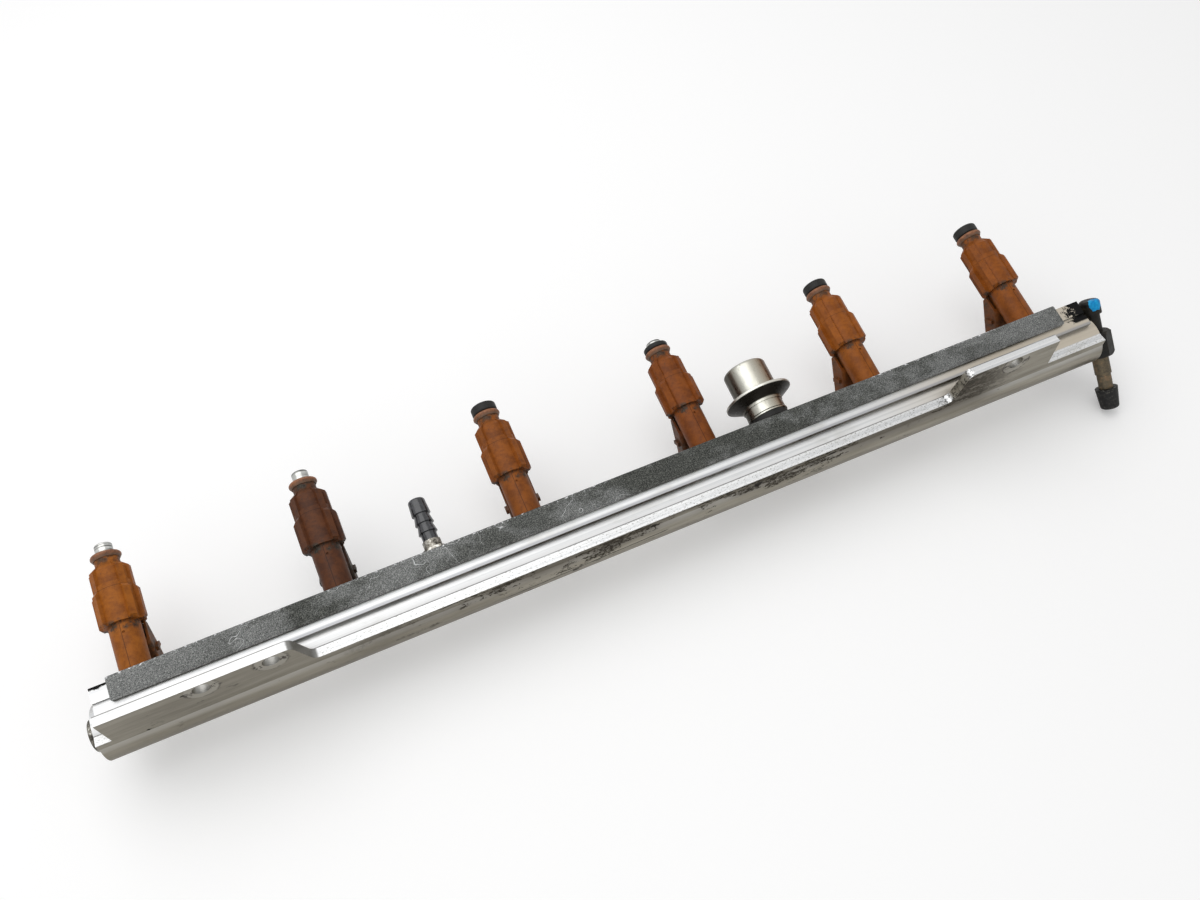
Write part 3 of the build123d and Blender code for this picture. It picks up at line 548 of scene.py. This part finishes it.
def damper_finish():
    """Plated damper: a painted highlight at the front, painted shade at the left edge, brown tarnish to the
    right, a painted highlight on the rim and painted shade under the flange.
    """
    f = Finish("plated_damper_steel", socket_stance(DAMPER_X))
    facing_out = f.facing()[1]
    around = f.scaled(f.maths("ARCTAN2", f.x, f.z), 1 / (2 * pi), 0.5)
    # Colour round the axis: a painted highlight towards the front-left, painted shade at the left edge,
    # brown tarnish to the right
    f.colour = f.shades(around, (0.10, (0.26, 0.24, 0.20)), (0.27, (0.06, 0.055, 0.045)),
                        (0.35, (0.26, 0.25, 0.215)), (0.43, (0.56, 0.56, 0.51)),
                        (0.52, (0.42, 0.40, 0.34)), (0.60, (0.20, 0.13, 0.08)),
                        (0.68, (0.12, 0.075, 0.045)), (0.80, (0.30, 0.27, 0.22)))
    scuffs = f.noise(260, 5, 0.7, (1, 0.5, 1))
    f.cover(f.fade(scuffs, 0.56, 0.72, 0.0, 0.55), (0.10, 0.085, 0.06))
    away = f.distance(f.x, f.z)
    # Painted highlight: a bright band along the rim's edge
    rim = f.times(f.fade(away, DAMPER_RIM_RADIUS - 0.0016, DAMPER_RIM_RADIUS - 0.0010),
                  f.fade(f.y, DAMPER_RIM_FRONT, DAMPER_RIM_FRONT + 0.0010))
    f.cover(rim, (0.66, 0.65, 0.60), 0.7)
    # Painted shade: near black where the flange's underside faces the rail
    under = f.times(f.fade(facing_out, -0.35, -0.60),
                    f.fade(away, DAMPER_NECK_RADIUS, DAMPER_NECK_RADIUS + 0.0006),
                    f.fade(away, DAMPER_RIM_RADIUS, DAMPER_RIM_RADIUS - 0.0004))
    f.cover(under, (0.020, 0.017, 0.013))
    # The painted shade under the flange is made less metallic too
    f.put("Metallic", f.scaled(under, -0.7, 1.0))
    f.put("Roughness", f.fade(scuffs, 0.3, 0.7, 0.24, 0.40))
    f.raise_by(scuffs, 0.00005, 0.3)
    return f.done()


def fitting_finish():
    """Dirty plated steel of the hose fitting."""
    f = Finish("dirty_plated_fitting", socket_stance(NIPPLE_X), metallic=0.85)
    dirt = f.noise(330, 5, 0.7)
    f.colour = f.shades(dirt, (0.38, (0.62, 0.61, 0.57)), (0.52, (0.30, 0.28, 0.24)),
                        (0.66, (0.06, 0.055, 0.045)))
    f.put("Roughness", f.fade(dirt, 0.3, 0.7, 0.28, 0.6))
    f.raise_by(dirt, 0.00008, 0.4)
    return f.done()


def nipple_finish():
    """Gloss black of the barbed nipple, greyed by dust."""
    f = Finish("black_nipple_gloss", socket_stance(NIPPLE_X))
    dust = f.noise(420, 5, 0.7)
    f.colour = f.shades(dust, (0.45, (0.006, 0.007, 0.010)), (0.68, (0.035, 0.037, 0.045)),
                        (0.75, (0.16, 0.16, 0.17)))
    f.put("Roughness", f.fade(dust, 0.4, 0.7, 0.16, 0.45))
    f.put("Coat Weight", 0.5)
    f.put("Coat Roughness", 0.12)
    f.raise_by(dust, 0.00006, 0.4)
    return f.done()


def tee_finish():
    """Black paint worn brown, with a dab of blue on the head."""
    f = Finish("worn_black_tee_paint", tee_stance())
    wear = f.noise(240, 5, 0.7)
    f.colour = f.shades(wear, (0.40, (0.004, 0.004, 0.0035)), (0.60, (0.016, 0.014, 0.010)),
                        (0.74, (0.08, 0.055, 0.03)))
    away = f.distance(*(f.maths("SUBTRACT", side, middle)
                        for side, middle in zip((f.x, f.y, f.z), BLUE_DAB)))
    away = f.ragged(away, f.noise(300, 3), 0.004)
    dab = f.fade(away, BLUE_DAB_RADIUS, BLUE_DAB_RADIUS - 0.0004)
    f.cover(dab, f.shades(f.noise(500, 3), (0.35, (0.0, 0.20, 0.50)), (0.65, (0.01, 0.38, 0.72))))
    f.put("Specular IOR Level", 0.2)
    f.put("Roughness", f.fade(wear, 0.3, 0.7, 0.38, 0.62))
    f.raise_by(wear, 0.00010, 0.4)
    f.raise_by(dab, 0.00012, 0.5)
    return f.done()


def valve_finish():
    """Brass of the test valve, brown and olive with age."""
    f = Finish("tarnished_valve_brass", tee_stance(), metallic=0.55)
    age = f.noise(330, 5, 0.7)
    f.colour = f.shades(age, (0.35, (0.055, 0.045, 0.030)), (0.55, (0.13, 0.10, 0.06)),
                        (0.72, (0.30, 0.17, 0.09)))
    f.put("Roughness", f.fade(age, 0.3, 0.7, 0.4, 0.65))
    f.raise_by(age, 0.00010, 0.5)
    return f.done()


def cap_finish():
    """Matte black plastic cap, scuffed pale round its open rim."""
    f = Finish("matte_black_cap", tee_stance(), roughness=0.55)
    scuff = f.noise(520, 5, 0.75)
    f.colour = f.shades(scuff, (0.4, (0.005, 0.005, 0.005)), (0.7, (0.020, 0.019, 0.018)))
    rim = f.scaled(f.fade(f.z, CAP_RIM, CAP_RIM + 0.0014), 0.8, 0.12)
    f.cover(f.times(f.fade(scuff, 0.52, 0.66), rim), (0.22, 0.21, 0.18))
    f.put("Specular IOR Level", 0.25)
    f.raise_by(scuff, 0.00008, 0.4)
    return f.done()


def plug_finish():
    """Dark stained steel of the end plug."""
    f = Finish("stained_plug_steel", metallic=0.7)
    stain = f.noise(260, 5, 0.7)
    f.colour = f.shades(stain, (0.36, (0.020, 0.018, 0.015)), (0.55, (0.13, 0.12, 0.10)),
                        (0.68, (0.55, 0.54, 0.50)))
    f.put("Roughness", f.fade(stain, 0.3, 0.7, 0.55, 0.32))
    f.raise_by(stain, 0.00008, 0.5)
    return f.done()


def terminal_finish():
    """Tinned blades of the connectors."""
    f = Finish("tinned_terminal", metallic=1.0, roughness=0.3)
    f.colour = f.shades(f.noise(900, 3), (0.35, (0.50, 0.48, 0.43)), (0.65, (0.74, 0.72, 0.66)))
    return f.done()


def filter_finish():
    """Fine mesh of the inlet filter, two threads to a millimetre."""
    f = Finish("filter_mesh", socket_stance(), roughness=0.6)
    radians_per_metre = 12000
    threads = [f.maths("SINE", f.times(side, radians_per_metre)) for side in (f.y, f.x)]
    weave = f.times(*threads)
    f.colour = f.shades(f.fade(weave, -0.4, 0.4), (0.0, (0.16, 0.15, 0.11)), (1.0, (0.50, 0.47, 0.36)))
    f.raise_by(weave, 0.00004, 0.5)
    return f.done()


def paint(node, material):
    """Give a CAD node its finish."""
    slots = rail_parts[node].data.materials
    slots.clear()
    slots.append(material)


def paint_rail(rubber):
    paint("rail_extrusion", rail_finish())
    paint("retainer_strip", strip_finish())
    paint("left_end_plug", plug_finish())
    paint("hose_fitting", fitting_finish())
    paint("hose_nipple", nipple_finish())
    paint("damper_can", damper_finish())
    paint("damper_dust_ring", rubber)
    paint("damper_seal", rubber)
    paint("tee_fitting", tee_finish())
    brass = valve_finish()
    paint("valve_stem", brass)
    paint("valve_core", brass)
    paint("dust_cap", cap_finish())


def paint_injectors(rubber):
    shared = {"cartridge": nozzle_finish(), "nozzle_ring": ring_finish(), "inlet_seal": rubber,
              "inlet_filter": filter_finish(), "terminals": terminal_finish(), "nozzle_seal": rubber}
    for index in range(len(PLASTICS)):
        injector = "injector_%d_" % (index + 1)
        paint(injector + "housing", housing_finish(index))
        for piece, material in shared.items():
            if injector + piece in rail_parts:
                paint(injector + piece, material)


def lay_floor():
    """Pale floor just below the rail, a little lighter to the camera than its own colour."""
    drop = 0.001
    mesh = bmesh.new()
    bmesh.ops.create_grid(mesh, x_segments=1, y_segments=1, size=6)
    bmesh.ops.translate(mesh, vec=(0, 0, cad_box[0].z - drop), verts=mesh.verts)
    data = bpy.data.meshes.new("floor")
    mesh.to_mesh(data)
    mesh.free()
    floor = bpy.data.objects.new("floor", data)
    bpy.context.scene.collection.objects.link(floor)
    f = Finish("pale_floor", roughness=0.9)
    f.colour = (0.90, 0.90, 0.90)
    f.put("Specular IOR Level", 0.0)
    f.put("Emission Color", (1.0, 1.0, 1.0))
    seen = f.nodes.new("ShaderNodeLightPath").outputs["Is Camera Ray"]
    f.put("Emission Strength", f.times(seen, 0.16))
    data.materials.append(f.done())


def surroundings():
    """White all round where it is seen or mirrored, and dimmer as a light."""
    seen_strength = 1.0
    light_strength = 0.6
    world = bpy.data.worlds.new("studio")
    bpy.context.scene.world = world
    world.use_nodes = True
    work = NodeWork(world.node_tree)
    path = work.nodes.new("ShaderNodeLightPath").outputs
    seen = work.most(path["Is Camera Ray"], path["Is Glossy Ray"], path["Is Transmission Ray"])
    strength = work.scaled(seen, seen_strength - light_strength, light_strength)
    background = work.nodes["Background"]
    work.feed(background.inputs["Color"], (1.0, 1.0, 1.0))
    work.feed(background.inputs["Strength"], strength)


def lamp(name, place, size, power):
    """Square soft lamp that points at the middle of the rail."""
    light = bpy.data.lights.new(name, "AREA")
    light.size = size
    light.energy = power
    holder = bpy.data.objects.new(name, light)
    bpy.context.scene.collection.objects.link(holder)
    holder.location = place
    ahead = Vector((0, 0.02, 0)) - Vector(place)
    holder.rotation_euler = ahead.to_track_quat("-Z", "Y").to_euler()


def camera():
    """Camera where the photograph was taken from."""
    lens = bpy.data.cameras.new("camera")
    lens.sensor_width = 36.0
    lens.lens = 31.0706
    lens.clip_start = 0.01
    holder = bpy.data.objects.new("camera", lens)
    bpy.context.scene.collection.objects.link(holder)
    place = (-0.12245, -0.23269, 0.45706)
    right = Vector((0.916648, -0.398428, -0.031785))
    down = Vector((-0.352616, -0.768670, -0.533665))
    ahead = Vector((0.188198, 0.500391, -0.845093))
    turn = Matrix((right, -down, -ahead)).transposed().to_4x4()
    holder.matrix_world = Matrix.Translation(place) @ turn
    bpy.context.scene.camera = holder


rubber = rubber_finish()
paint_rail(rubber)
paint_injectors(rubber)
lay_floor()
surroundings()
lamp("overhead", (-0.25, 0.35, 0.95), size=1.1, power=5.2)
lamp("front_fill", (-0.5, -0.9, 0.35), size=0.8, power=1.2)
camera()
bpy.context.scene.view_settings.view_transform = "Standard"
